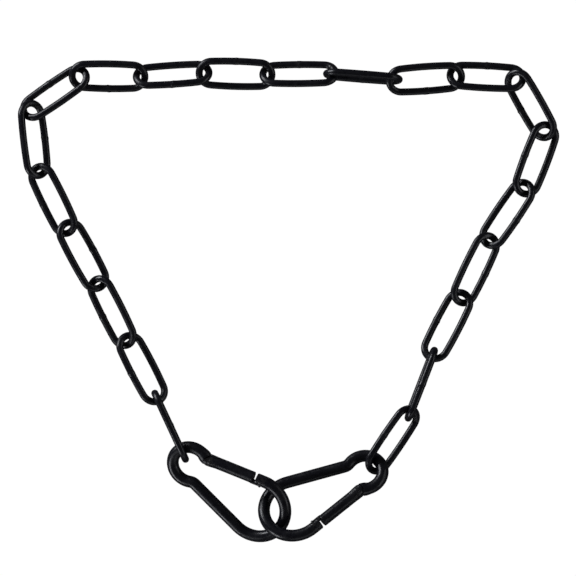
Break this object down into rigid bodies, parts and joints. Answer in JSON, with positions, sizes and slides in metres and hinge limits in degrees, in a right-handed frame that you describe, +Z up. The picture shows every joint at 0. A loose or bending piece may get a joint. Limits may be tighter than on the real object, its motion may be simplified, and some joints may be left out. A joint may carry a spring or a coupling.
{
  "type": "chain with snap hooks",
  "caption": "Black-coated long-link steel chain with a spring snap hook on each end, laid flat in a loop with the hooks clipped into each other.",
  "frame": {"origin": "on the floor under the middle of the whole object's box", "axes": "+Z up from the floor; +Y from the hooks to the far side of the loop; +X to the right as the hooks' side is seen nearest"},
  "size_m": [0.2252, 0.2016, 0.0185],
  "materials": {
    "chain_coating": "semi-gloss black coating on steel wire",
    "hook_coating": "satin black coating on steel"
  },
  "bodies": {
    "chain": {"link_01": "chain_coating", "link_02": "chain_coating", "link_03": "chain_coating", "link_04": "chain_coating", "link_05": "chain_coating", "link_06": "chain_coating", "link_07": "chain_coating", "link_08": "chain_coating", "link_09": "chain_coating", "link_10": "chain_coating", "link_11": "chain_coating", "link_12": "chain_coating", "link_13": "chain_coating", "link_14": "chain_coating", "link_15": "chain_coating", "link_16": "chain_coating", "link_17": "chain_coating", "link_18": "chain_coating", "link_19": "chain_coating", "link_20": "chain_coating", "link_21": "chain_coating", "left_hook_body": "hook_coating", "left_hook_rivet": "hook_coating", "right_hook_body": "hook_coating", "right_hook_rivet": "hook_coating"},
    "left_gate": {"left_hook_gate": "hook_coating"},
    "right_gate": {"right_hook_gate": "hook_coating"}
  },
  "joints": [
    {"name": "left_gate_hinge", "type": "hinge", "parent": "chain", "child": "left_gate", "pos_m": [-0.03215, -0.06692, 0.00968], "axis": [0.3054, 0.3463, -0.887], "range_deg": [0, 36], "stiffness_Nm_per_rad": 0.004, "springref_deg": -22.92},
    {"name": "right_gate_hinge", "type": "hinge", "parent": "chain", "child": "right_gate", "pos_m": [0.02861, -0.08003, 0.01072], "axis": [0.1347, -0.4514, -0.8821], "range_deg": [0, 36], "stiffness_Nm_per_rad": 0.004, "springref_deg": -22.92}
  ]
}
